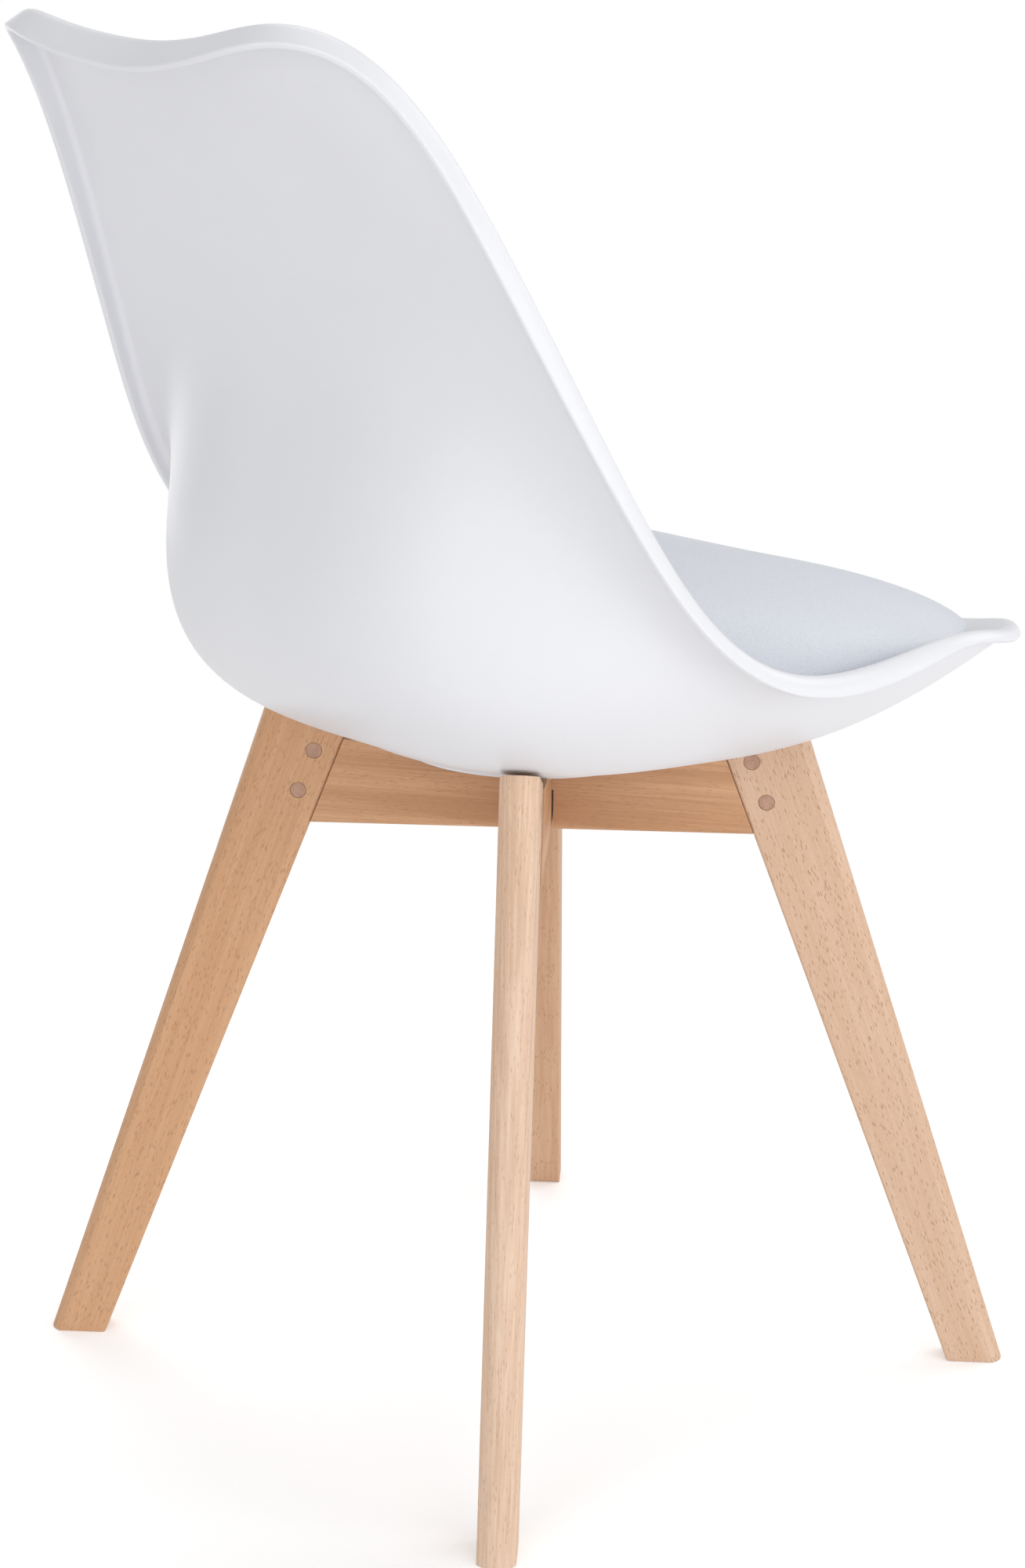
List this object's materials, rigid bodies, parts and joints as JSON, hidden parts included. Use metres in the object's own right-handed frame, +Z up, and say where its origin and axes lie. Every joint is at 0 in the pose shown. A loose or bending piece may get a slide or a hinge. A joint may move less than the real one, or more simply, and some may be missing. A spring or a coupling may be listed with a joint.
{
  "type": "dining chair",
  "caption": "Armless dining chair: a moulded plastic seat shell with a rolled rim and padded seat, on a crossed beech frame with splayed tapered legs.",
  "frame": {"origin": "on the floor, under the middle of the chair's bounding box", "axes": "+Z up, -Y towards the front of the chair, +X towards the sitter's left"},
  "size_m": [0.492, 0.5339, 0.8241],
  "materials": {
    "shell": "satin white moulded polypropylene",
    "pad_cover": "fine-grained faux leather, white",
    "pad_foam": "soft polyurethane foam",
    "pad_pan": "moulded pan",
    "beech": "clear-lacquered solid beech",
    "dowel": "beech end grain",
    "steel": "zinc-plated",
    "insert": "brass"
  },
  "bodies": {
    "root": {"seat_shell": "shell", "seat_pad_cover": "pad_cover", "seat_pad_foam": "pad_foam", "seat_pad_pan": "pad_pan", "beam_upper": "beech", "beam_lower": "beech", "leg_rear_left": "beech", "leg_rear_right": "beech", "leg_front_left": "beech", "leg_front_right": "beech", "dowels_rear_left": "dowel", "dowels_rear_right": "dowel", "dowels_front_left": "dowel", "dowels_front_right": "dowel", "frame_screws": "steel", "spring_washers": "steel", "flat_washers": "steel", "threaded_inserts": "insert"}
  },
  "joints": []
}
